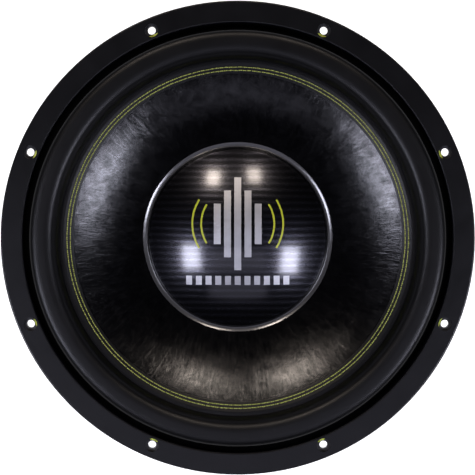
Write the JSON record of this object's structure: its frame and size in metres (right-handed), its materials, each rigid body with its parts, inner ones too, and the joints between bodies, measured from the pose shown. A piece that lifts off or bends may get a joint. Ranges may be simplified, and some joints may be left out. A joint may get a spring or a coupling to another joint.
{
  "type": "car subwoofer speaker",
  "caption": "Round car subwoofer driver: rubber-edged flange, deep cone with a domed cap, cast basket, corrugated spiders and a vented motor in a rubber boot.",
  "frame": {"origin": "centre of the motor's back, the lowest point, with the driver standing cone up", "axes": "+Z along the cone's axis, from the motor out through the cone; +X and +Y run between flange bolts, and the two terminals are on -Y (A) and +Y (B)"},
  "size_m": [0.3959, 0.396, 0.2296],
  "materials": {
    "cast_black": "black powder coat, fine texture",
    "trim_rubber": "satin moulded rubber",
    "seal_lime": "matt foam rubber",
    "surround_rubber": "satin rubber",
    "spider_cloth": "resin-treated cotton weave",
    "card_black": "matt",
    "steel_black": "satin black",
    "steel_plated": "zinc plated",
    "ferrite": "ground ferrite",
    "copper": "enamelled copper",
    "bare_aluminium": "machined",
    "boot_rubber": "matt moulded rubber",
    "terminal_plastic": "moulded",
    "button_red": "moulded",
    "button_black": "moulded",
    "post_brass": "gold plated",
    "spring_steel": "bright wire",
    "tinsel_braid": "braided tinsel cord",
    "cone_paper": "coated fibrous pulp",
    "cap_weave": "glossy woven fibre under resin",
    "glue_gloss": "glossy adhesive",
    "thread_lime": "twisted thread",
    "solder": "solder"
  },
  "bodies": {
    "frame": {"basket": "cast_black", "trim_ring": "trim_rubber", "landing_seal": "seal_lime", "surround": "surround_rubber", "spider_lower": "spider_cloth", "spider_upper": "spider_cloth", "spider_spacer": "card_black", "spider_clamp_ring": "card_black", "top_plate": "steel_black", "magnet_upper": "ferrite", "magnet_lower": "ferrite", "yoke": "steel_plated", "pole_sleeve": "copper", "pole_base_ring": "bare_aluminium", "magnet_boot": "boot_rubber", "vent_screen": "steel_black", "motor_bolts": "steel_plated", "terminal_block_a": "terminal_plastic", "terminal_block_b": "terminal_plastic", "terminal_screws_a": "steel_plated", "terminal_screws_b": "steel_plated", "post_a_positive": "post_brass", "post_a_negative": "post_brass", "post_b_positive": "post_brass", "post_b_negative": "post_brass", "spring_a_positive": "spring_steel", "spring_a_negative": "spring_steel", "spring_b_positive": "spring_steel", "spring_b_negative": "spring_steel", "tinsel_a_positive": "tinsel_braid", "tinsel_a_negative": "tinsel_braid", "tinsel_b_positive": "tinsel_braid", "tinsel_b_negative": "tinsel_braid"},
    "cone_assembly": {"cone": "cone_paper", "dust_cap": "cap_weave", "dust_cap_glue": "glue_gloss", "stitching_outer": "thread_lime", "stitching_inner": "thread_lime", "coil_former": "bare_aluminium", "winding_inner": "copper", "winding_outer": "copper", "neck_collar": "card_black", "lead_strips": "copper", "solder_joints": "solder"},
    "button_a_positive": {"button_a_positive": "button_red"},
    "button_a_negative": {"button_a_negative": "button_black"},
    "button_b_positive": {"button_b_positive": "button_red"},
    "button_b_negative": {"button_b_negative": "button_black"}
  },
  "joints": [
    {"name": "cone_stroke", "type": "slide", "parent": "frame", "child": "cone_assembly", "axis": [0, 0, 1], "range_m": [-0.02, 0.02], "stiffness_N_per_m": 14150, "deforming": ["surround", "spider_lower", "spider_upper", "tinsel_a_positive", "tinsel_a_negative", "tinsel_b_positive", "tinsel_b_negative"]},
    {"name": "press_a_positive", "type": "slide", "parent": "frame", "child": "button_a_positive", "axis": [0, 1, 0], "range_m": [0, 0.003], "stiffness_N_per_m": 900, "deforming": ["spring_a_positive"]},
    {"name": "press_a_negative", "type": "slide", "parent": "frame", "child": "button_a_negative", "axis": [0, 1, 0], "range_m": [0, 0.003], "stiffness_N_per_m": 900, "deforming": ["spring_a_negative"]},
    {"name": "press_b_positive", "type": "slide", "parent": "frame", "child": "button_b_positive", "axis": [0, -1, 0], "range_m": [0, 0.003], "stiffness_N_per_m": 900, "deforming": ["spring_b_positive"]},
    {"name": "press_b_negative", "type": "slide", "parent": "frame", "child": "button_b_negative", "axis": [0, -1, 0], "range_m": [0, 0.003], "stiffness_N_per_m": 900, "deforming": ["spring_b_negative"]}
  ]
}
